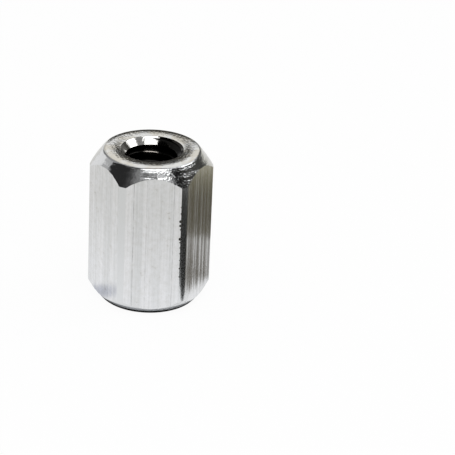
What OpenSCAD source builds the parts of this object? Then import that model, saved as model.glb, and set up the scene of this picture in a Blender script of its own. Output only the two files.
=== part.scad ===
// Hex standoff: a female threaded spacer turned from hexagon bar and tapped right through.
// Sizes are in millimetres. The axis is Z, the base face stands on Z = 0 and a flat faces -Y.

/* [Bar] */
// Distance across the flats of the hexagon bar
across_flats = 5.5; // [5:0.1:8]
// Depth turned off each sharp corner of the hexagon
corner_break = 0.1; // [0.04:0.02:0.2]
// Length of the standoff between its end faces
body_length = 8; // [4:0.5:40]

/* [Ends] */
// Inset of each end face's rim from the flats of the hexagon
face_inset = 0.35; // [0.15:0.05:0.55]
// Half angle of the chamfer cone at the top, from the axis
top_chamfer_angle = 36; // [30:1:60]
// Half angle of the chamfer cone at the base, from the axis
base_chamfer_angle = 40; // [30:1:60]
// Radius that rounds the edge between an end face and its chamfer
edge_round = 0.25; // [0.1:0.05:0.4]

/* [Thread] */
// Nominal diameter of the internal thread
thread_d = 3; // [2:0.5:4]
// Pitch of the internal thread
thread_pitch = 0.5; // [0.35:0.05:0.7]
// How much wider the mouth of each countersink is than the thread
countersink_margin = 0.15; // [0.05:0.05:0.4]
// Half angle of the countersinks, from the axis
countersink_angle = 45; // [30:5:60]

/* [Hidden] */

// Facets that the preview gives to round surfaces
round_steps = 96;
// Straight steps that make up each rounded edge of the profile
edge_steps = 6;
// How far the bar and the cutting tools run past the end faces
overrun = 1;

across_corners = across_flats / cos(30);
corner_r = across_corners / 2 - corner_break;
face_r = across_flats / 2 - face_inset;
tap_drill_r = (thread_d - thread_pitch) / 2;
mouth_r = (thread_d + countersink_margin) / 2;
countersink_depth = (mouth_r - tap_drill_r) / tan(countersink_angle);
mouth_overrun_r = mouth_r + overrun * tan(countersink_angle);

// How far down a chamfer of the given half angle reaches at the turned corners
function chamfer_drop(angle) = (corner_r - face_r) / tan(angle);

// Rounded edge at an end face on height 0, from the face to a cone of the given half angle
function edge_arc(angle) =
    let (
        tangent = edge_round * tan((90 - angle) / 2),
        centre_r = face_r - tangent
    )
    [for (i = [0 : edge_steps])
        let (a = 90 - (90 - angle) * i / edge_steps)
        [centre_r + edge_round * cos(a), edge_round * (sin(a) - 1)]];

// The same outline seen from the other end of the profile
function reversed(points) = [for (i = [len(points) - 1 : -1 : 0]) points[i]];

// Half of the turned outline, from the axis at the top down to the axis at the base
function turned_profile() = concat(
    [[0, body_length]],
    [for (p = edge_arc(top_chamfer_angle)) [p[0], body_length + p[1]]],
    [[corner_r, body_length - chamfer_drop(top_chamfer_angle)]],
    [[corner_r, chamfer_drop(base_chamfer_angle)]],
    [for (p = reversed(edge_arc(base_chamfer_angle))) [p[0], -p[1]]],
    [[0, 0]]
);

// Hexagon bar stock, a little longer than the part
module hexagon_bar() {
    translate([0, 0, -overrun])
        linear_extrude(body_length + 2 * overrun)
            circle(d = across_corners, $fn = 6);
}

// What the lathe leaves of the bar: broken corners, chamfers and rounded end edges
module turned_envelope() {
    rotate_extrude($fn = round_steps)
        polygon(turned_profile());
}

// Countersink that opens upwards from an end face on height 0
module countersink() {
    translate([0, 0, -countersink_depth])
        cylinder(
            h = countersink_depth + overrun,
            r1 = tap_drill_r,
            r2 = mouth_overrun_r,
            $fn = round_steps
        );
}

// Through hole at the thread's crest diameter, countersunk at both mouths
module tapped_hole() {
    translate([0, 0, -overrun])
        cylinder(h = body_length + 2 * overrun, r = tap_drill_r, $fn = round_steps);
    translate([0, 0, body_length]) countersink();
    mirror([0, 0, 1]) countersink();
}

module hex_standoff() {
    color("silver")
        difference() {
            intersection() {
                hexagon_bar();
                turned_envelope();
            }
            tapped_hole();
        }
}

hex_standoff();
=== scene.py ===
# Hex standoff, M3 x 8 mm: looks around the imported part.
import math

import bpy
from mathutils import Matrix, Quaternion, Vector, noise


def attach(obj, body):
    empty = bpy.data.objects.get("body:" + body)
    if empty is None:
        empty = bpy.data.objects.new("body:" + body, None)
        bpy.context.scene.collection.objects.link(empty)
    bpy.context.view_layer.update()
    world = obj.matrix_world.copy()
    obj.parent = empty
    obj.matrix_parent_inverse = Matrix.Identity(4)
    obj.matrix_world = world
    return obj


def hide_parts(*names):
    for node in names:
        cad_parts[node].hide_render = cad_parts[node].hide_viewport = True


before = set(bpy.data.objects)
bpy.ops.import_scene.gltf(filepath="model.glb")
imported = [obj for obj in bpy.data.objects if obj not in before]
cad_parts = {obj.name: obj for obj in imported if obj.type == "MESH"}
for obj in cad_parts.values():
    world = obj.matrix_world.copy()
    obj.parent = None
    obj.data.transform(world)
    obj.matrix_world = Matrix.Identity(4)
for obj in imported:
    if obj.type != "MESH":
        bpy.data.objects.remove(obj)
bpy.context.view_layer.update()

mm = 0.001  # the dictionaries below are in millimetres and degrees
samePlace = 0.001 * mm  # points closer than this are merged
halfFlat = 30  # degrees from a flat's middle to the corner beside it

barStock = dict(
    acrossFlats=5.5,
    length=8.0,
    overrun=1.0,  # the bar sticks out this far past both faced ends before it is cut to shape
    stripsPerFlat=44,
    # shallow flutes that the die left along the bar: two patterns laid over each other
    fluteWidths=(0.36, 0.15),
    fluteWeights=(0.6, 0.4),
    flutesApart=9,
    fluteContrast=0.9,
    # each flat's start in the pattern, and its depth
    flutes=((0, 0.020), (5.7, 0.020), (11.4, 0.020), (-17.1, 0.020), (-11.4, 0.020), (693.79, 0.032)),
    fluteReach=(1.05, 1.30),  # they die out between these distances from a flat's middle
)

turnedBlank = dict(
    cornerRadius=3.0755,
    faceRadius=2.4,
    topHalfAngle=36.0,
    baseHalfAngle=40.0,
    edgeRound=0.25,
    edgeSteps=8,
    boreRadius=1.25,
    mouthRadius=1.575,
    coneShares=(1, 0.66, 0.33, 0.06),  # points along the countersink, as shares of its slope
    lipRound=0.05,
    lipSteps=4,
    crownMiddle=2.10,  # the faced ends bulge a little: from here they fall to the hole and to the rim
    crownInside=(0.50, 0.024),  # reach and fall
    crownOutside=(0.22, 0.016),
    feed=0.36,  # one turn of the tool on the chamfers
    feedStart=0.07,
    feedDepth=0.0055,
    feedFade=0.7,  # share of the depth lost by the lower edge of the chamfer
    feedRunOut=0.125,  # share of the chamfer's slope in which the last of it dies out
    faceFeed=0.11,
    faceFeedDepth=0.0004,
    stationGap=0.03,
    spinSteps=192,
)

threadForm = dict(
    majorRadius=1.5,
    innerRadius=1.15,
    pitch=0.5,
    crestRound=0.08,  # the crests are rounded over, so they catch the light in thin lines
    crestHalf=0.02,
    crestTurns=(60, 10),
    crestSteps=6,
    start=-0.70,
    turns=19,
    stepsPerTurn=72,
)

cornerNicks = dict(
    radius=0.10,
    outside=0.02,  # the beads' middles lie this far outside the corner
    slack=0.003,
    # turn about the axis, height and size of each small dent along the right front corner
    dents=((26.4, 5.28, 0.9), (26.3, 5.05, 0.8), (26.7, 4.84, 0.6), (26.3, 4.32, 0.9),
           (26.6, 4.13, 0.6), (26.9, 5.70, 0.6), (26.5, 6.06, 0.45), (26.6, 3.84, 0.5),
           (26.4, 3.52, 0.45), (26.6, 3.15, 0.4), (26.5, 2.70, 0.5), (26.6, 2.24, 0.45)),
)

viewCamera = dict(
    lens=190.1,
    sensor=36.0,
    frame=455,
    distance=121.0,
    azimuth=-3.05,
    elevation=25.70,
    roll=1.68,
    aim=(0.0, 0.0, 4.0),
    aimPixel=(150.04, 220.70),
    clip=(1, 3000),
)


def startClean():
    if bpy.context.object and bpy.context.object.mode != "OBJECT":
        bpy.ops.object.mode_set(mode="OBJECT")
    bpy.ops.object.select_all(action="DESELECT")


def workOn(piece):
    startClean()
    piece.select_set(True)
    bpy.context.view_layer.objects.active = piece


def applyPlace(piece):
    workOn(piece)
    bpy.ops.object.transform_apply(location=True, rotation=True, scale=True)


def pick(piece, kind, test):
    # edit mode, with only the vertices, edges or faces selected that pass the test
    workOn(piece)
    bpy.ops.object.mode_set(mode="EDIT")
    bpy.ops.mesh.select_mode(type=kind)
    bpy.ops.mesh.select_all(action="DESELECT")
    bpy.ops.object.mode_set(mode="OBJECT")
    mesh = piece.data
    for part in {"VERT": mesh.vertices, "EDGE": mesh.edges, "FACE": mesh.polygons}[kind]:
        part.select = test(part)
    bpy.ops.object.mode_set(mode="EDIT")


def drawLine(name, points):
    # a plane merged to its middle is the first point, and the rest is drawn by extruding it
    startClean()
    bpy.ops.mesh.primitive_plane_add(size=mm, location=(0, 0, 0))
    piece = bpy.context.object
    piece.name = name
    bpy.ops.object.mode_set(mode="EDIT")
    bpy.ops.mesh.select_mode(type="VERT")
    bpy.ops.mesh.select_all(action="SELECT")
    bpy.ops.mesh.merge(type="CENTER")
    bpy.ops.transform.translate(value=[value * mm for value in points[0]])
    for previous, point in zip(points, points[1:]):
        step = [(value - before) * mm for value, before in zip(point, previous)]
        bpy.ops.mesh.extrude_region_move(TRANSFORM_OT_translate={"value": step})
    bpy.ops.mesh.select_all(action="SELECT")
    return piece


def drawClosedLine(name, outline):
    # the outline is radius and height pairs; the line ends where it began
    points = [(radius, 0, height) for radius, height in outline]
    piece = drawLine(name, points + points[:1])
    bpy.ops.mesh.remove_doubles(threshold=samePlace)
    return piece


def drawBar():
    startClean()
    size = barStock
    cornerDistance = size["acrossFlats"] / 2 / math.cos(math.radians(halfFlat))
    bpy.ops.mesh.primitive_cylinder_add(
        vertices=6,
        radius=cornerDistance * mm,
        depth=(size["length"] + 2 * size["overrun"]) * mm,
        location=(0, 0, size["length"] / 2 * mm),
        rotation=(0, 0, math.radians(halfFlat)),
    )
    bar = bpy.context.object
    bar.name = "drawnBar"
    applyPlace(bar)

    def liesLevel(edge):
        first, second = (bar.data.vertices[i].co for i in edge.vertices)
        return abs(first.z - second.z) < samePlace

    pick(bar, "EDGE", liesLevel)
    bpy.ops.mesh.subdivide(number_cuts=size["stripsPerFlat"] - 1)
    bpy.ops.object.mode_set(mode="OBJECT")
    fluteBar(bar)
    return bar


def fluteBar(bar):
    # each flat's strips sink by a few micrometres, the same all along the bar
    size = barStock
    inside, outside = size["fluteReach"]
    for vertex in bar.data.vertices:
        x, y = vertex.co.x / mm, vertex.co.y / mm
        side = round((math.degrees(math.atan2(y, x)) - halfFlat) / (2 * halfFlat))
        turn = math.radians(side * 2 * halfFlat + halfFlat)
        outward = Vector((math.cos(turn), math.sin(turn), 0))
        along = -x * math.sin(turn) + y * math.cos(turn)
        start, depth = size["flutes"][side % 6]
        share = 0
        for width, weight in zip(size["fluteWidths"], size["fluteWeights"]):
            pattern = Vector((along / width, start, width * size["flutesApart"]))
            share += weight * noise.noise(pattern)
        sunk = depth * min(1, max(0, 0.5 + size["fluteContrast"] * share))
        fade = min(1, max(0, (outside - abs(along)) / (outside - inside)))
        vertex.co -= outward * sunk * fade * mm


def faceHeight(radius):
    # how far the faced end falls away from its highest ring
    size = turnedBlank
    away = radius - size["crownMiddle"]
    reach, fall = size["crownInside"] if away < 0 else size["crownOutside"]
    ring = math.cos(2 * math.pi * radius / size["faceFeed"])
    return -fall * (away / reach) ** 2 - size["faceFeedDepth"] * (1 - ring) / 2


def endOutline(halfAngle):
    # from the bore's countersink over the lip, the face and the rounded edge to the corner;
    # heights are measured from the end face, and the countersink is as deep as it is wide
    size = turnedBlank
    lip = size["lipRound"]
    lipMiddle = size["mouthRadius"] + lip * math.tan(math.radians(22.5))
    lipTop = faceHeight(lipMiddle)
    lipStart = lipMiddle - lip * math.sqrt(0.5)
    lipDrop = lipTop - lip + lip * math.sqrt(0.5)
    points = [
        (lipStart - share * (lipStart - size["boreRadius"]),
         lipDrop - share * (lipStart - size["boreRadius"]))
        for share in size["coneShares"]
    ]
    for i in range(size["lipSteps"] + 1):
        turn = math.radians(135 - 45 * i / size["lipSteps"])
        points.append((lipMiddle + lip * math.cos(turn), lipTop - lip + lip * math.sin(turn)))
    slope = math.radians(90 - halfAngle)
    tangent = size["edgeRound"] * math.tan(slope / 2)
    edgeMiddle = size["faceRadius"] - tangent
    radius = lipMiddle + size["stationGap"]
    while radius < edgeMiddle - size["stationGap"] / 2:
        points.append((radius, faceHeight(radius)))
        radius += size["stationGap"]
    drop = faceHeight(edgeMiddle)
    for i in range(size["edgeSteps"] + 1):
        turn = math.radians(90) - slope * i / size["edgeSteps"]
        points.append((
            edgeMiddle + size["edgeRound"] * math.cos(turn),
            size["edgeRound"] * (math.sin(turn) - 1) + drop * (1 - i / size["edgeSteps"]),
        ))
    start = points[-1]
    cone = math.radians(halfAngle)
    slant = (size["cornerRadius"] - start[0]) / math.sin(cone)
    count = round(slant / size["stationGap"])
    for i in range(1, count + 1):
        along = slant * i / count
        fade = min(1, (slant - along) / (slant * size["feedRunOut"]))
        fade *= 1 - size["feedFade"] * along / slant
        ring = math.sin(2 * math.pi * (along - size["feedStart"]) / size["feed"])
        sunk = -size["feedDepth"] * fade * ring / 2
        points.append((
            start[0] + along * math.sin(cone) - sunk * math.cos(cone),
            start[1] - along * math.cos(cone) - sunk * math.sin(cone),
        ))
    return points


def turnBlank():
    # one closed outline with the bore in it, spun round the axis
    top = [(r, barStock["length"] + z) for r, z in endOutline(turnedBlank["topHalfAngle"])]
    base = [(r, -z) for r, z in endOutline(turnedBlank["baseHalfAngle"])]
    blank = drawClosedLine("turnedBlank", top + base[::-1])
    bpy.ops.mesh.select_all(action="SELECT")
    bpy.ops.mesh.spin(
        steps=turnedBlank["spinSteps"], angle=2 * math.pi, center=(0, 0, 0), axis=(0, 0, 1)
    )
    bpy.ops.mesh.select_all(action="SELECT")
    bpy.ops.mesh.remove_doubles(threshold=samePlace)
    bpy.ops.mesh.normals_make_consistent(inside=False)
    bpy.ops.object.mode_set(mode="OBJECT")
    applyPlace(blank)
    return blank


def makeTap():
    # the metal that the tap takes out: one V-shaped ridge wound up the bore, its tip an eighth of
    # the pitch wide
    size = threadForm
    crest = size["crestRound"]
    half = [(size["majorRadius"], size["pitch"] / 16)]
    steep, level = size["crestTurns"]
    for i in range(size["crestSteps"] + 1):
        turn = math.radians(steep - (steep - level) * i / size["crestSteps"])
        half.append((
            turnedBlank["boreRadius"] + crest * (1 - math.cos(turn)),
            size["pitch"] / 2 - size["crestHalf"] - crest * math.sin(turn),
        ))
    half.append((size["innerRadius"], half[-1][1]))
    ridge = [(r, size["start"] + z) for r, z in half]
    ridge += [(r, size["start"] - z) for r, z in half[::-1]]
    tap = drawClosedLine("threadTap", ridge)
    bpy.ops.object.mode_set(mode="OBJECT")
    applyPlace(tap)
    winding = tap.modifiers.new("winding", "SCREW")
    winding.axis = "Z"
    winding.angle = 2 * math.pi
    winding.screw_offset = size["pitch"] * mm
    winding.iterations = size["turns"]
    winding.steps = size["stepsPerTurn"]
    winding.render_steps = size["stepsPerTurn"]
    winding.use_merge_vertices = False
    bpy.ops.object.modifier_apply(modifier=winding.name)
    bpy.ops.object.mode_set(mode="EDIT")
    bpy.ops.mesh.select_all(action="SELECT")
    bpy.ops.mesh.fill_holes(sides=0)
    bpy.ops.mesh.select_all(action="SELECT")
    bpy.ops.mesh.normals_make_consistent(inside=False)
    bpy.ops.object.mode_set(mode="OBJECT")
    return tap


def nickPlace(turn, height):
    angle = math.radians(turn)
    reach = turnedBlank["cornerRadius"] + cornerNicks["outside"]
    return Vector((reach * math.sin(angle), -reach * math.cos(angle), height))


def makeNickBeads():
    # small beads that dent the corner where it has knocked against others
    startClean()
    beads = []
    for turn, height, share in cornerNicks["dents"]:
        bpy.ops.mesh.primitive_ico_sphere_add(
            subdivisions=3, radius=cornerNicks["radius"] * share * mm,
            location=nickPlace(turn, height) * mm,
        )
        beads.append(bpy.context.object)
    startClean()
    for bead in beads:
        bead.select_set(True)
    bpy.context.view_layer.objects.active = beads[0]
    bpy.ops.object.join()
    applyPlace(beads[0])
    return beads[0]


def combine(piece, tool, operation):
    workOn(piece)
    cut = piece.modifiers.new("cut", "BOOLEAN")
    cut.operation = operation
    cut.solver = "EXACT"
    cut.object = tool
    bpy.ops.object.modifier_apply(modifier=cut.name)
    if not piece.data.polygons:
        raise RuntimeError("nothing is left of " + piece.name + " after " + tool.name)
    bpy.data.objects.remove(tool)


def mergeSlivers(piece):
    # the cuts leave faces thinner than a micrometre along some edges; they give their points in
    # no fixed order, so which point of a close pair is kept can differ from run to run
    workOn(piece)
    bpy.ops.object.mode_set(mode="EDIT")
    bpy.ops.mesh.select_mode(type="VERT")
    bpy.ops.mesh.select_all(action="SELECT")
    bpy.ops.mesh.remove_doubles(threshold=samePlace)
    bpy.ops.object.mode_set(mode="OBJECT")
    edgesAt = [0] * len(piece.data.vertices)
    for edge in piece.data.edges:
        for i in edge.vertices:
            edgesAt[i] += 1
    # a point between only two edges makes faces fold back on each other when they are cut up
    pick(piece, "VERT", lambda vertex: edgesAt[vertex.index] == 2)
    bpy.ops.mesh.dissolve_verts()
    bpy.ops.object.mode_set(mode="OBJECT")


def hexToLinear(text):
    parts = [int(text[i:i + 2], 16) / 255 for i in (0, 2, 4)]
    return [p / 12.92 if p <= 0.04045 else ((p + 0.055) / 1.055) ** 2.4 for p in parts] + [1.0]


def addNode(tree, kind, settings=None, links=None):
    # names that the node has as a property are set there, the rest are its sockets
    node = tree.nodes.new(kind)
    for name, value in (settings or {}).items():
        if name == "stops":
            ramp = node.color_ramp.elements
            while len(ramp) < len(value):
                ramp.new(1.0)
            for stop, (place, colour) in zip(ramp, value):
                stop.position = place
                stop.color = colour
        elif isinstance(name, str) and hasattr(node, name):
            setattr(node, name, value)
        else:
            node.inputs[name].default_value = value
    for name, source in (links or {}).items():
        tree.links.new(source, node.inputs[name])
    return node


def newMaterial(name):
    material = bpy.data.materials.new(name)
    material.use_nodes = True
    material.node_tree.nodes.clear()
    return material, material.node_tree


def noiseScale(period):
    # noise repeats about once for each unit, so the scale is one over the size in metres
    return 1 / (period * mm)


drawLineWidths = (0.32, 0.09)
# scratches that a rough spot in the die drew along two flats: place across and half width
dieLines = ((-0.96, 0.020), (1.01, 0.016), (-0.32, 0.010))


def drawnSteel():
    # stainless bar pulled through a hexagon die: satin flats with long, straight draw lines
    material, tree = newMaterial("stainless_bright_drawn")
    place = addNode(tree, "ShaderNodeTexCoord").outputs["Object"]
    long = addNode(tree, "ShaderNodeMapping", {"Scale": (1, 1, 0.02)}, {"Vector": place})
    coarse, fine = (
        addNode(
            tree, "ShaderNodeTexNoise",
            {"Scale": noiseScale(width), "Detail": 2.0, "Roughness": 0.6},
            {"Vector": long.outputs["Vector"]},
        )
        for width in drawLineWidths
    )
    linesTogether = addNode(
        tree, "ShaderNodeMath", {"operation": "ADD"},
        {0: fine.outputs[0], 1: coarse.outputs[0]},
    )
    linesTogether = addNode(
        tree, "ShaderNodeMath", {"operation": "MULTIPLY", 1: 0.5}, {0: linesTogether.outputs[0]}
    )
    relief = addNode(
        tree, "ShaderNodeBump", {"Strength": 1.0, "Distance": 0.012 * mm},
        {"Height": linesTogether.outputs[0]},
    )
    tint = addNode(
        tree, "ShaderNodeValToRGB",
        {"stops": [(0.35, hexToLinear("D6D8DA")), (0.65, hexToLinear("E8E9EC"))]},
        {"Fac": linesTogether.outputs[0]},
    )
    stainAndPaintedShade = addNode(
        tree, "ShaderNodeTexNoise", {"Scale": noiseScale(0.30), "Detail": 4.0, "Roughness": 0.65},
        {"Vector": place},
    )
    stained = addNode(
        tree, "ShaderNodeValToRGB",
        {"stops": [(0.26, (0.72, 0.70, 0.66, 1)), (0.36, (0.93, 0.925, 0.91, 1)),
                   (0.62, (1, 1, 1, 1))]},
        {"Fac": stainAndPaintedShade.outputs[0]},
    )
    tint = addNode(
        tree, "ShaderNodeVectorMath", {"operation": "MULTIPLY"},
        {0: tint.outputs[0], 1: stained.outputs[0]},
    )
    across = addNode(tree, "ShaderNodeSeparateXYZ", {}, {0: place}).outputs["X"]
    broken = addNode(
        tree, "ShaderNodeTexNoise", {"Scale": noiseScale(0.7), "Detail": 3.0, "Roughness": 0.7},
        {"Vector": place},
    )
    broken = addNode(
        tree, "ShaderNodeMapRange", {"From Min": 0.35, "From Max": 0.6}, {"Value": broken.outputs[0]}
    )
    for lineAt, halfWidth in dieLines:
        line = addNode(
            tree, "ShaderNodeMath", {"operation": "COMPARE", 1: lineAt * mm, 2: halfWidth * mm},
            {0: across},
        )
        line = addNode(
            tree, "ShaderNodeMath", {"operation": "MULTIPLY"},
            {0: line.outputs[0], 1: broken.outputs[0]},
        )
        darker = addNode(
            tree, "ShaderNodeMapRange", {"To Min": 1.0, "To Max": 0.66}, {"Value": line.outputs[0]}
        )
        tint = addNode(
            tree, "ShaderNodeVectorMath", {"operation": "SCALE"},
            {0: tint.outputs[0], "Scale": darker.outputs[0]},
        )
    tangent = addNode(tree, "ShaderNodeTangent", {"direction_type": "RADIAL", "axis": "Z"})
    surface = addNode(
        tree, "ShaderNodeBsdfPrincipled",
        {"Metallic": 1.0, "Roughness": 0.22, "Anisotropic": 0.6},
        {"Base Color": tint.outputs[0], "Normal": relief.outputs[0], "Tangent": tangent.outputs[0]},
    )
    addNode(tree, "ShaderNodeOutputMaterial", {}, {"Surface": surface.outputs[0]})
    return material


def spotShare(tree, place, spot):
    # 0 inside the spot, 1 outside it, soft between its two reaches
    away = addNode(
        tree, "ShaderNodeVectorMath",
        {"operation": "DISTANCE", 1: [value * mm for value in spot["place"]]}, {0: place},
    )
    share = addNode(
        tree, "ShaderNodeMapRange",
        {"From Min": spot["reach"][0] * mm, "From Max": spot["reach"][1] * mm},
        {"Value": away.outputs["Value"]},
    )
    return share.outputs[0]


# the side on which the tool shook, and how far out towards it the specks begin and are full
toolShake = dict(towards=(0.8, -0.6, 0), reach=(1.5, 2.15))
ringWidth = 0.05
unrolledAt = 0.25  # the rings' pattern is unrolled at this radius, so further out its streaks run long
filmPatches = dict(width=0.7, stops=(0.42, 0.58))


def turnedSteel(name, colour, roughness, ringDepth, chatterWidth, chatterDepth, calmShare=1.0,
                stainAndPaintedShade=None, film=None):
    # faced and chamfered on the lathe: fine rings round the axis, and specks where the tool shook;
    # on the other sides only the calm share of the specks' depth is left
    material, tree = newMaterial(name)
    place = addNode(tree, "ShaderNodeTexCoord").outputs["Object"]
    parts = addNode(tree, "ShaderNodeSeparateXYZ", {}, {0: place}).outputs
    level = addNode(
        tree, "ShaderNodeVectorMath", {"operation": "MULTIPLY", 1: (1, 1, 0)}, {0: place}
    )
    radius = addNode(tree, "ShaderNodeVectorMath", {"operation": "LENGTH"}, {0: level.outputs[0]})
    turn = addNode(tree, "ShaderNodeMath", {"operation": "ARCTAN2"}, {0: parts["Y"], 1: parts["X"]})
    along = addNode(
        tree, "ShaderNodeMath", {"operation": "MULTIPLY", 1: unrolledAt * mm},
        {0: turn.outputs[0]},
    )
    unrolled = addNode(
        tree, "ShaderNodeCombineXYZ", {},
        {"X": along.outputs[0], "Y": radius.outputs["Value"], "Z": parts["Z"]},
    )
    rings = addNode(
        tree, "ShaderNodeTexNoise",
        {"Scale": noiseScale(ringWidth), "Detail": 2.0, "Roughness": 0.6},
        {"Vector": unrolled.outputs[0]},
    )
    fine = addNode(
        tree, "ShaderNodeBump", {"Strength": 1.0, "Distance": ringDepth * mm},
        {"Height": rings.outputs[0]},
    )
    chatter = addNode(
        tree, "ShaderNodeTexNoise",
        {"Scale": noiseScale(chatterWidth), "Detail": 1.0, "Roughness": 0.6}, {"Vector": place},
    )
    shaken = addNode(
        tree, "ShaderNodeVectorMath", {"operation": "DOT_PRODUCT", 1: toolShake["towards"]},
        {0: place},
    )
    begin, full = toolShake["reach"]
    shake = addNode(
        tree, "ShaderNodeMapRange",
        {"From Min": begin * mm, "From Max": full * mm, "To Min": calmShare, "To Max": 1.0},
        {"Value": shaken.outputs["Value"]},
    )
    relief = addNode(
        tree, "ShaderNodeBump", {"Distance": chatterDepth * mm},
        {"Strength": shake.outputs[0], "Height": chatter.outputs[0], "Normal": fine.outputs[0]},
    )
    links = {"Normal": relief.outputs[0]}
    if film:
        patches = addNode(
            tree, "ShaderNodeTexNoise",
            {"Scale": noiseScale(filmPatches["width"]), "Detail": 3.0, "Roughness": 0.6},
            {"Vector": place},
        )
        filmed, bare = filmPatches["stops"]
        tint = addNode(
            tree, "ShaderNodeValToRGB",
            {"stops": [(filmed, hexToLinear(film)), (bare, hexToLinear(colour))]},
            {"Fac": patches.outputs[0]},
        )
        links["Base Color"] = tint.outputs[0]
    # painted shade when given: the colour turns darker towards a spot, as on the countersink's right
    # half
    if stainAndPaintedShade:
        tint = addNode(
            tree, "ShaderNodeValToRGB",
            {"stops": [(0.0, hexToLinear(stainAndPaintedShade["colour"])), (1.0, hexToLinear(colour))]},
            {"Fac": spotShare(tree, place, stainAndPaintedShade)},
        )
        links["Base Color"] = tint.outputs[0]
    surface = addNode(
        tree, "ShaderNodeBsdfPrincipled",
        {"Base Color": hexToLinear(colour), "Metallic": 1.0, "Roughness": roughness}, links,
    )
    addNode(tree, "ShaderNodeOutputMaterial", {}, {"Surface": surface.outputs[0]})
    return material


# painted highlight: the spot where one crest at the back of the bore is made bright
crestHighlightSpot = dict(place=(0.0, 1.25, 7.24), reach=(0.28, 0.42))
# painted shade: the countersink's right half is darkened, as a dark mirrored room would make it
paintedMouthShade = dict(place=(1.2, 0.75, 7.83), reach=(0.95, 1.15), colour="403E3B")


def tappedSteel():
    # cut by the tap; its dark colour is painted shade of the bore's inside, and a painted highlight
    # makes one crest at the back bright
    material, tree = newMaterial("stainless_tapped_thread")
    place = addNode(tree, "ShaderNodeTexCoord").outputs["Object"]
    tint = addNode(
        tree, "ShaderNodeValToRGB",
        {"stops": [(0.0, hexToLinear("9C9690")), (1.0, hexToLinear("242322"))]},
        {"Fac": spotShare(tree, place, crestHighlightSpot)},
    )
    surface = addNode(
        tree, "ShaderNodeBsdfPrincipled", {"Metallic": 1.0, "Roughness": 0.18},
        {"Base Color": tint.outputs[0]},
    )
    addNode(tree, "ShaderNodeOutputMaterial", {}, {"Surface": surface.outputs[0]})
    return material


def nickedSteel():
    # dents knocked into the corner: a dark, rough colour, so they read as dark specks
    material, tree = newMaterial("stainless_nicked")
    surface = addNode(
        tree, "ShaderNodeBsdfPrincipled",
        {"Base Color": hexToLinear("5A5854"), "Metallic": 1.0, "Roughness": 0.5},
    )
    addNode(tree, "ShaderNodeOutputMaterial", {}, {"Surface": surface.outputs[0]})
    return material


finishes = ("drawn", "faced", "tapped", "corner", "chamfer", "nicked", "mouth")  # as the slots run

finishLimits = dict(
    mouthSlopes=(0.69, 0.75),  # how steeply up a countersink's faces look
    mouthDepth=0.32,
    sideRadius=2.6,
    sideSlope=0.1,
    cornerTurn=26.4,  # degrees from a flat's middle where the broken corner begins
    slack=0.02,
)


def finishOf(face):
    limit = finishLimits
    x, y, z = (value / mm for value in face.center)
    radius = math.hypot(x, y)
    upward = abs(face.normal.z)
    if radius < turnedBlank["mouthRadius"]:
        least, most = limit["mouthSlopes"]
        isCone = least < upward < most and radius > turnedBlank["boreRadius"] + limit["slack"]
        depth = min(z, barStock["length"] - z)
        return "mouth" if isCone and depth < limit["mouthDepth"] else "tapped"
    if radius > limit["sideRadius"] and upward < limit["sideSlope"]:
        fromFlat = abs(math.degrees(math.atan2(y, x)) % (2 * halfFlat) - halfFlat)
        return "corner" if fromFlat > limit["cornerTurn"] else "drawn"
    return "chamfer" if radius > turnedBlank["faceRadius"] - limit["slack"] else "faced"


def inNick(piece, face):
    # all of the face's corners lie on one of the dents
    corners = [piece.data.vertices[i].co / mm for i in face.vertices]
    for turn, height, share in cornerNicks["dents"]:
        middle = nickPlace(turn, height)
        reach = cornerNicks["radius"] * share + cornerNicks["slack"]
        if all((corner - middle).length < reach for corner in corners):
            return True
    return False


def makeFinishes():
    # one material for each name in finishes
    return (
        drawnSteel(),
        turnedSteel(
            "stainless_faced_end", "DCDCDA", roughness=0.10, ringDepth=0.002, chatterWidth=0.14,
            chatterDepth=0.006, film="D0CCC2",
        ),
        tappedSteel(),
        turnedSteel(
            "stainless_broken_corner", "DADCDE", roughness=0.16, ringDepth=0.0, chatterWidth=0.2,
            chatterDepth=0.003,
        ),
        turnedSteel(
            "stainless_turned_chamfer", "D2D3D4", roughness=0.10, ringDepth=0.0015,
            chatterWidth=0.10, chatterDepth=0.014, calmShare=0.32,
        ),
        nickedSteel(),
        turnedSteel(
            "stainless_countersunk_mouth", "D5D4D1", roughness=0.10, ringDepth=0.002,
            chatterWidth=0.14, chatterDepth=0.006, stainAndPaintedShade=paintedMouthShade,
        ),
    )


smoothAngle = 22


def makeStandoff():
    bar = drawBar()
    print("bar drawn:", len(bar.data.polygons), "faces")
    standoff = turnBlank()
    print("blank turned:", len(standoff.data.polygons), "faces")
    combine(standoff, bar, "INTERSECT")
    print("hexagon and turning combined:", len(standoff.data.polygons), "faces")
    combine(standoff, makeTap(), "DIFFERENCE")
    print("thread tapped:", len(standoff.data.polygons), "faces")
    combine(standoff, makeNickBeads(), "DIFFERENCE")
    mergeSlivers(standoff)
    standoff.name = "standoff"
    workOn(standoff)
    bpy.ops.object.shade_smooth_by_angle(angle=math.radians(smoothAngle))
    standoff.data.materials.clear()
    for material in makeFinishes():
        standoff.data.materials.append(material)
    for face in standoff.data.polygons:
        finish = "nicked" if inNick(standoff, face) else finishOf(face)
        face.material_index = finishes.index(finish)
    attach(standoff, "root")
    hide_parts("hex_standoff")
    print("standoff finished:", len(standoff.data.polygons), "faces")


def pointTowards(azimuth, elevation):
    # azimuth 0 is on the camera's side, 90 on its right
    a, e = math.radians(azimuth + viewCamera["azimuth"]), math.radians(elevation)
    return Vector((math.sin(a) * math.cos(e), -math.cos(a) * math.cos(e), math.sin(e)))


lampAim = Vector((0, 0, 6))


def facePart(thing, azimuth, elevation, distance, roll):
    # a positive roll lifts the side with the larger azimuth
    towards = pointTowards(azimuth, elevation)
    thing.location = (towards * distance + lampAim) * mm
    thing.rotation_mode = "QUATERNION"
    level = towards.to_track_quat("Z", "Y")
    thing.rotation_quaternion = Quaternion(towards, math.radians(roll)) @ level


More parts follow.
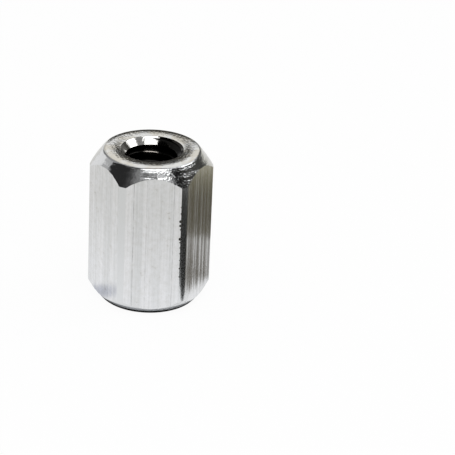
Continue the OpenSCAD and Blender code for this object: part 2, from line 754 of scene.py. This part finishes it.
cards = (
    # name, distance, colour, corners as azimuth and elevation seen from the standoff's top
    ("leftCard", 80, "303030", ((-100, 12), (-56, 18), (-55, 50), (-100, 47))),
    ("leftDimCard", 83, "464646", ((-57, 20), (-47, 24), (-46, 50), (-57, 50))),
    ("leftMidCard", 86, "646464", ((-48, 26), (-39, 30), (-38, 51), (-48, 50))),
    ("leftGreyCard", 89, "8C8C8C", ((-40, 34), (-23, 34), (-26, 52), (-40, 51))),
    ("leftHighCard", 81, "161616",
     ((-104, 42), (-34, 50), (-36, 64), (-42, 70), (-62, 74), (-96, 68))),
    ("leftBackCard", 82, "A0A0A0",
     ((-138, 15), (-128, 20), (-112, 28), (-100, 32), (-98, 60), (-112, 58), (-128, 50), (-140, 36))),
    ("leftEdgeCard", 83, "8E8E8E", ((-152, 9), (-136, 13), (-136, 40), (-152, 30))),
    ("leftPaleCard", 85, "C4C4C4", ((-121, 12), (-99, 18), (-99, 36), (-112, 31), (-123, 22))),
    ("leftTopCard", 92, "B4B4B4",
     ((-152, 26), (-136, 36), (-100, 50), (-45, 60), (-40, 80), (-140, 78), (-150, 52))),
    ("leftFarCard", 96, "DADAD8", ((-170, 6), (-136, 6), (-138, 32), (-170, 32))),
    ("rightCard", 80, "1E1E1E", ((45, 18), (76, 18), (78, 45), (46, 46))),
    ("rightHighCard", 82, "8C8C8C", ((50, 46), (84, 46), (90, 56), (70, 63), (48, 64))),
    ("rightLowCard", 81, "4A4946",
     ((74, -3), (134, -3), (139, 12), (138, 24), (130, 31), (120, 27), (112, 24), (88, 34), (74, 40))),
    ("rightPaleCard", 79, "E4E2D8", ((136, -7), (164, -7), (164, 3), (148, 5), (137, 7))),
    ("rightBackCard", 84, "6A6A68",
     ((128, -3), (167, -3), (167, 15), (160, 27), (148, 34), (130, 31), (120, 26), (122, 10))),
    ("frontCard", 88, "707070", ((-23, 36), (48, 36), (48, 42), (34, 45), (12, 46.5), (-23, 46))),
    ("frontPaleCard", 90, "989898", ((-24, 44), (16, 44), (16, 49.5), (0, 50.5), (-24, 50))),
    ("frontLowCard", 94, "141414",
     ((-70, 4), (-30, 6), (0, 6), (30, 6), (60, 4), (60, 22), (30, 33), (0, 36), (-30, 32), (-70, 20))),
    ("topCard", 95, "303030",
     ((0, 80.5), (60, 72), (120, 66), (180, 74), (-140, 76), (-90, 79), (-45, 80))),
)


def hangCards():
    # dark and pale cards round the set: only the metal's reflections see them
    for name, distance, colour, directions in cards:
        corners = []
        for azimuth, elevation in directions:
            a, e = math.radians(azimuth), math.radians(elevation)
            reach = distance * math.cos(e)
            up = barStock["length"] + distance * math.sin(e)
            corners.append((reach * math.sin(a), reach * math.cos(a), up))
        drawCard(name, corners, ((0, colour),))
    print("cards hung:", len(cards))


def cardGlow(name, stops, along):
    # colours that change with height, or with the distance from a point
    material, tree = newMaterial(name)
    place = addNode(tree, "ShaderNodeTexCoord").outputs["Object"]
    if along == "up":
        reach = addNode(tree, "ShaderNodeSeparateXYZ", {}, {0: place}).outputs["Z"]
    else:
        away = addNode(
            tree, "ShaderNodeVectorMath",
            {"operation": "DISTANCE", 1: [value * mm for value in along]}, {0: place},
        )
        reach = away.outputs["Value"]
    low, high = stops[0][0], stops[-1][0]
    share = addNode(
        tree, "ShaderNodeMapRange", {"From Min": low * mm, "From Max": high * mm},
        {"Value": reach},
    )
    ramp = addNode(
        tree, "ShaderNodeValToRGB",
        {"stops": [((z - low) / max(high - low, 0.001), hexToLinear(c)) for z, c in stops]},
        {"Fac": share.outputs[0]},
    )
    glow = addNode(tree, "ShaderNodeEmission", {"Strength": 1.0}, {"Color": ramp.outputs[0]})
    addNode(tree, "ShaderNodeOutputMaterial", {}, {"Surface": glow.outputs[0]})
    return material


def finishCard(card, stops, along="up"):
    card.data.materials.append(cardGlow(card.name, stops, along))
    for rays in ("camera", "diffuse", "shadow", "transmission"):
        setattr(card, "visible_" + rays, False)


def fromCamera(point):
    # to the right, towards the camera and up, seen from the foot of the standoff's axis
    x, y, z = point
    turn = math.radians(viewCamera["azimuth"])
    return (x * math.cos(turn) + y * math.sin(turn), x * math.sin(turn) - y * math.cos(turn), z)


def drawCard(name, corners, stops, along="up"):
    card = drawLine(name, [fromCamera(corner) for corner in corners])
    bpy.ops.mesh.edge_face_add()
    bpy.ops.object.mode_set(mode="OBJECT")
    finishCard(card, stops, along)


patchHeight = 0.02  # patches lie this far above the table

neighbourCards = (
    # an upright behind on the right, patches on the table by two corners, and a low dark thing behind
    # painted shade: the olive upright glows in the colours of the neighbours' shaded sides, seen only
    # in the metal's reflections
    ("oliveUpright", ((7.5, -4.8, 0), (12.8, 2.4, 0), (12.8, 2.4, 7), (7.5, -4.8, 7)),
     ((0, "6A6659"), (0.8, "5C5749"), (2.4, "5A5546"), (3.1, "6C6856"), (3.6, "7A7560"),
      (4.2, "A8A491"))),
    # painted shadow: a dark sheet where the neighbours would shade the table, seen only in the metal's
    # reflections
    ("darkPatch",
     ((2.9, 3.02, patchHeight), (4.5, 3.15, patchHeight), (5.8, 3.1, patchHeight),
      (7.0, 3.2, patchHeight), (18, 6, patchHeight), (18, 16, patchHeight),
      (5.24, 4.76, patchHeight), (4.19, 3.87, patchHeight)),
     ((0, "2C2C2A"),)),
    ("brownPatch",
     ((3.2, 2.3, patchHeight), (4.75, -1.2, patchHeight), (16.4, -9.2, patchHeight),
      (18, 5, patchHeight)),
     ((0, "76726A"),)),
    ("lowDarkCard",
     ((10, -40, 6), (-9, -40, 6), (-9, -40, 20), (-6.3, -40, 22.6), (-1.6, -40, 24.3),
      (-1.1, -40, 26.2), (-0.6, -40, 27), (0.5, -40, 28.2), (1.5, -40, 27.6), (1.85, -40, 26),
      (2.2, -40, 24.6), (3.6, -40, 23.9), (7.7, -40, 20.6), (10, -40, 19)),
     ((0, "444340"),)),
)

# painted shade: a blue-grey patch on the table, greyer towards its middle, seen only in the left flat's
# reflection
bluePatch = dict(
    middle=(-3.55, 0.95, patchHeight),
    stops=((0, "C9CBD4"), (0.45, "D0D2DA"), (0.95, "FFFFFF")),
    sides=12,
)


def standNeighbours():
    for name, corners, stops in neighbourCards:
        drawCard(name, corners, stops)
    x, y, z = bluePatch["middle"]
    reach = bluePatch["stops"][-1][0]
    turns = [math.radians(360 / bluePatch["sides"] * i) for i in range(bluePatch["sides"])]
    corners = [(x + reach * math.cos(turn), y + reach * math.sin(turn), z) for turn in turns]
    drawCard("paleBluePatch", corners, bluePatch["stops"], fromCamera(bluePatch["middle"]))
    print("neighbours stood in for:", len(neighbourCards) + 1, "cards")


tableShade = dict(
    radius=100,
    height=0.01,
    sides=64,
    stops=((0, "101010"), (2.545, "141414"), (2.57, "8A8C90"), (2.62, "F0F2F4"), (2.75, "FFFFFF"),
           (3.2, "FFFFFF"), (15, "E8E7E4")),
)


def shadeTable():
    # the table as the flats mirror it: dark under the base, white at the foot, then a little greyer
    startClean()
    bpy.ops.mesh.primitive_circle_add(
        vertices=tableShade["sides"], radius=tableShade["radius"] * mm, fill_type="NGON",
        location=(0, 0, tableShade["height"] * mm),
    )
    shade = bpy.context.object
    shade.name = "tableShade"
    applyPlace(shade)
    finishCard(shade, tableShade["stops"], (0, 0, 0))


def seenByEye(tree):
    # 1 for rays from the camera, from a mirror or through glass, 0 for the rays that only light
    rays = addNode(tree, "ShaderNodeLightPath")
    seen = addNode(
        tree, "ShaderNodeMath", {"operation": "MAXIMUM"},
        {0: rays.outputs["Is Camera Ray"], 1: rays.outputs["Is Glossy Ray"]},
    )
    seen = addNode(
        tree, "ShaderNodeMath", {"operation": "MAXIMUM"},
        {0: seen.outputs[0], 1: rays.outputs["Is Transmission Ray"]},
    )
    return seen.outputs[0]


# the table is plain paper under the base and glows white outside it, to this share
whiteTable = dict(size=1200, reach=(2.28, 2.36), share=0.94)


def layFloor():
    startClean()
    bpy.ops.mesh.primitive_plane_add(size=whiteTable["size"] * mm)
    floor = bpy.context.object
    floor.name = "floor"
    material, tree = newMaterial("white_table")
    seen = seenByEye(tree)
    place = addNode(tree, "ShaderNodeTexCoord").outputs["Object"]
    away = addNode(tree, "ShaderNodeVectorMath", {"operation": "LENGTH"}, {0: place})
    inside, outside = whiteTable["reach"]
    clear = addNode(
        tree, "ShaderNodeMapRange",
        {"From Min": inside * mm, "From Max": outside * mm, "To Min": 0.0,
         "To Max": whiteTable["share"]},
        {"Value": away.outputs["Value"]},
    )
    share = addNode(
        tree, "ShaderNodeMath", {"operation": "MULTIPLY"},
        {0: seen, 1: clear.outputs[0]},
    )
    paper = addNode(tree, "ShaderNodeBsdfDiffuse", {"Color": (0.9, 0.9, 0.9, 1)})
    white = addNode(tree, "ShaderNodeEmission", {"Color": (1, 1, 1, 1), "Strength": 1.0})
    mixed = addNode(
        tree, "ShaderNodeMixShader", {},
        {0: share.outputs[0], 1: paper.outputs[0], 2: white.outputs[0]},
    )
    addNode(tree, "ShaderNodeOutputMaterial", {}, {"Surface": mixed.outputs[0]})
    floor.data.materials.append(material)


roomLight = dict(lighting=0.75, seen=1.0)  # the room lights less than it looks bright


def lightRoom():
    world = bpy.data.worlds.new("paleRoom")
    bpy.context.scene.world = world
    world.use_nodes = True
    tree = world.node_tree
    tree.nodes.clear()
    seen = seenByEye(tree)
    strength = addNode(
        tree, "ShaderNodeMapRange",
        {"To Min": roomLight["lighting"], "To Max": roomLight["seen"]}, {"Value": seen},
    )
    glow = addNode(
        tree, "ShaderNodeBackground", {"Color": (1, 1, 1, 1)}, {"Strength": strength.outputs[0]}
    )
    addNode(tree, "ShaderNodeOutputWorld", {}, {"Surface": glow.outputs[0]})


softBoxes = (
    # name, azimuth, elevation, distance, width, height, roll, radiance
    ("keyBox", 15, 64, 150, 116, 78, -4, 2.0),
    ("rightBox", 104.5, 39.5, 150, 66, 34, -35, 2.0),
)


def hangSoftBoxes():
    for name, azimuth, elevation, distance, width, height, roll, radiance in softBoxes:
        startClean()
        bpy.ops.object.light_add(type="AREA")
        lamp = bpy.context.object
        lamp.name = name
        lamp.data.shape = "RECTANGLE"
        lamp.data.size = width * mm
        lamp.data.size_y = height * mm
        lamp.data.energy = math.pi * width * height * mm * mm * radiance
        facePart(lamp, azimuth, elevation, distance, roll)
    print("room lit, with", len(softBoxes), "soft boxes")


def setCamera():
    size = viewCamera
    aim = Vector(size["aim"]) * mm
    back = pointTowards(0, size["elevation"])
    startClean()
    bpy.ops.object.camera_add()
    camera = bpy.context.object
    camera.data.lens = size["lens"]
    camera.data.sensor_width = size["sensor"]
    camera.data.clip_start, camera.data.clip_end = (value * mm for value in size["clip"])
    camera.location = aim + back * size["distance"] * mm
    # turn the view so that the aim falls on its pixel, then roll about that line
    half = size["frame"] / 2
    focal = size["lens"] / size["sensor"] * size["frame"]
    pixel = Vector((
        (size["aimPixel"][0] - half) / focal, (half - size["aimPixel"][1]) / focal, -1
    )).normalized()
    turn = Vector((0, 0, -1)).rotation_difference(pixel)
    roll = Quaternion(pixel, math.radians(size["roll"]))
    camera.rotation_mode = "QUATERNION"
    camera.rotation_quaternion = (-back).to_track_quat("-Z", "Y") @ (roll @ turn).inverted()
    bpy.context.scene.camera = camera
    print("camera set")


makeStandoff()
layFloor()
lightRoom()
hangSoftBoxes()
hangCards()
standNeighbours()
shadeTable()
setCamera()
bpy.context.scene.view_settings.view_transform = "Standard"
